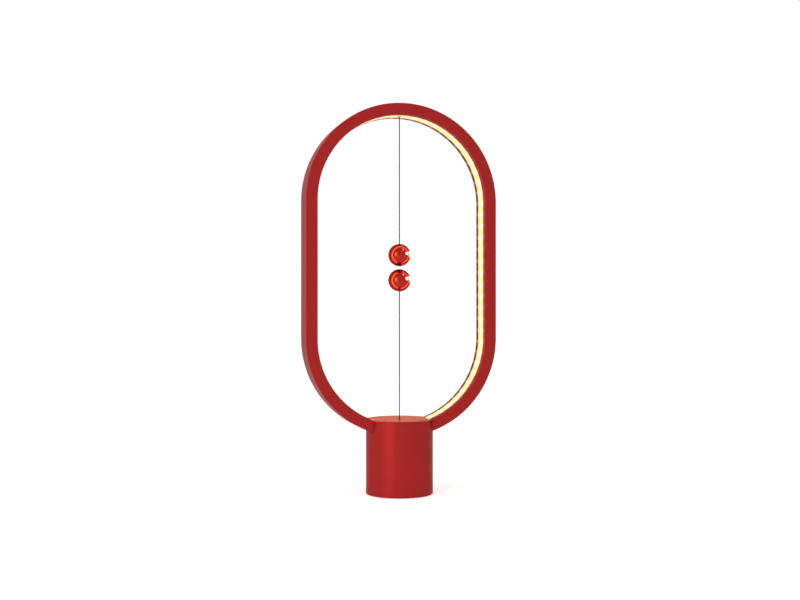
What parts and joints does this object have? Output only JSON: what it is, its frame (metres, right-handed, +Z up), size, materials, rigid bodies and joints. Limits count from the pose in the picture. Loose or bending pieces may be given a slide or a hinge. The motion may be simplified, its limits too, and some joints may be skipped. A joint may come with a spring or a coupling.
{
  "type": "magnetic balance hoop lamp",
  "caption": "Table lamp: a stadium-shaped hoop with a lit inner strip on a round base, switched by two magnetic balls on strings that hold each other up across a gap.",
  "frame": {"origin": "middle of the base's underside, where the foot pad meets the table", "axes": "+Z up through both balls; the hoop lies in the XZ plane; the front faces -Y and the power inlet faces +Y"},
  "size_m": [0.2, 0.069, 0.4],
  "materials": {
    "shell_red": "satin red, moulded",
    "ball_red": "high-gloss metallic red",
    "diffuser": "milky, lit from behind",
    "pad": "matt foam rubber",
    "cover_red": "matt dark red",
    "ballast": "as cast",
    "screw_steel": "plain steel",
    "spring_steel": "rolled steel",
    "socket_steel": "drawn steel",
    "board": "green lacquer on laminate",
    "black_plastic": "matt black",
    "capacitor": "fired body",
    "white_plastic": "matt white",
    "tape": "white flexible tape with light chips",
    "brass": "plain brass",
    "string": "twisted thread",
    "magnet": "nickel plated",
    "plunger": "moulded",
    "wire_red": "soft insulation",
    "wire_black": "soft insulation"
  },
  "bodies": {
    "lamp": {"base_housing": "shell_red", "base_top_cap": "shell_red", "base_eyelet": "shell_red", "bottom_cover": "cover_red", "foot_pad": "pad", "cover_screw_back": "screw_steel", "cover_screw_left": "screw_steel", "cover_screw_right": "screw_steel", "ballast_weight": "ballast", "control_board": "board", "driver_chip": "black_plastic", "choke_coil": "black_plastic", "board_capacitor": "capacitor", "board_screw_left": "screw_steel", "board_screw_right": "screw_steel", "wire_socket_switch": "white_plastic", "wire_socket_lamp": "white_plastic", "usb_socket": "socket_steel", "usb_tongue": "black_plastic", "switch_body": "black_plastic", "switch_terminal_closed": "brass", "switch_terminal_open": "brass", "switch_terminal_common": "brass", "switch_screw_front": "screw_steel", "switch_screw_rear": "screw_steel", "lever_pin": "spring_steel", "lamp_wire_plus": "wire_red", "lamp_wire_minus": "wire_black", "switch_wire_one": "wire_black", "switch_wire_two": "wire_black", "hoop_front_shell": "shell_red", "hoop_rear_shell": "shell_red", "hoop_clamp_bar": "spring_steel", "hoop_screw_left": "screw_steel", "hoop_screw_right": "screw_steel", "led_tape": "tape", "diffuser_strip": "diffuser", "hoop_eyelet": "white_plastic", "upper_string_end": "string", "upper_string_clamp": "brass"},
    "upper_knot": {"upper_string_knot": "string"},
    "upper_hanging": {"upper_string": "string", "upper_ball": "ball_red", "upper_ball_plug": "ball_red", "upper_ball_magnet": "magnet", "upper_ball_stop": "brass"},
    "pull": {"pull_string": "string", "pull_string_clamp": "brass"},
    "lower_bend": {"lower_string_bend": "string"},
    "lower_line": {"lower_string": "string"},
    "lower_lifted": {"lower_ball": "ball_red", "lower_ball_plug": "ball_red", "lower_ball_magnet": "magnet", "lower_ball_stop": "brass"},
    "lever": {"switch_lever": "spring_steel"},
    "plunger": {"switch_plunger": "plunger"}
  },
  "joints": [
    {"name": "upper_swing_front_back", "type": "hinge", "parent": "lamp", "child": "upper_knot", "pos_m": [0, 0, 0.3878], "axis": [1, 0, 0], "range_deg": [-60, 60]},
    {"name": "upper_swing_sideways", "type": "hinge", "parent": "upper_knot", "child": "upper_hanging", "pos_m": [0, 0, 0.3878], "axis": [0, 1, 0], "range_deg": [-30, 30]},
    {"name": "switch_pull", "type": "slide", "parent": "lamp", "child": "pull", "axis": [0, 0, 1], "range_m": [-0.0015, 0]},
    {"name": "lower_sway_front_back", "type": "hinge", "parent": "pull", "child": "lower_bend", "pos_m": [0, 0, 0.0758], "axis": [1, 0, 0], "range_deg": [-8, 8]},
    {"name": "lower_sway_sideways", "type": "hinge", "parent": "lower_bend", "child": "lower_line", "pos_m": [0, 0, 0.0758], "axis": [0, 1, 0], "range_deg": [-8, 8]},
    {"name": "lower_ball_drop", "type": "slide", "parent": "lower_line", "child": "lower_lifted", "axis": [0, 0, 1], "range_m": [-0.127, 0], "deforming": ["lower_string"]},
    {"name": "lever_swing", "type": "hinge", "parent": "lamp", "child": "lever", "pos_m": [0, -0.02, 0.0268], "axis": [1, 0, 0], "range_deg": [-4.3, 0]},
    {"name": "plunger_slide", "type": "slide", "parent": "lamp", "child": "plunger", "axis": [0, 0, 1], "range_m": [-0.00046, 0]}
  ],
  "couplings": [
    {"joint": "lever_swing", "follows": "switch_pull", "rad_per_m": 50},
    {"joint": "plunger_slide", "follows": "switch_pull", "ratio": 0.305}
  ]
}
